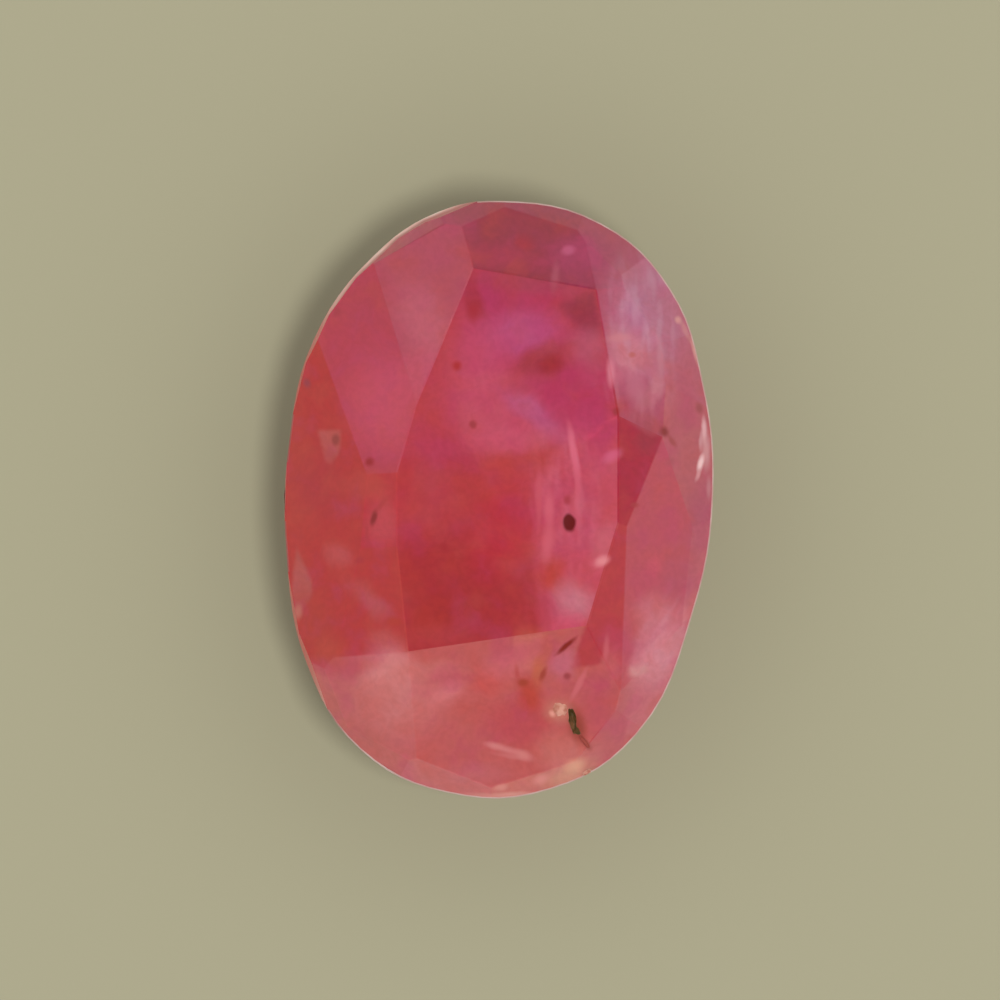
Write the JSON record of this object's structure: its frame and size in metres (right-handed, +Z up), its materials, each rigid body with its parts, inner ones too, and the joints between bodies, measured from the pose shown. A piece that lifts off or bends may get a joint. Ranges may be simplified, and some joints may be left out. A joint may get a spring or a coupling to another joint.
{
  "type": "faceted oval ruby gemstone",
  "caption": "Milky red ruby cut as a shallow faceted oval, with an off-centre table on top and a flat culet to rest on.",
  "frame": {"origin": "centre of the stone's bounding box in plan, at the level of the flat culet that it rests on", "axes": "+Z up through the table, +Y along the stone's length, +X across its width"},
  "size_m": [0.0072, 0.01, 0.004],
  "materials": {
    "ruby": "polished milky red ruby, cloudy with silk, with a few dark inclusions"
  },
  "bodies": {
    "root": {"faceted_ruby": "ruby"}
  },
  "joints": []
}
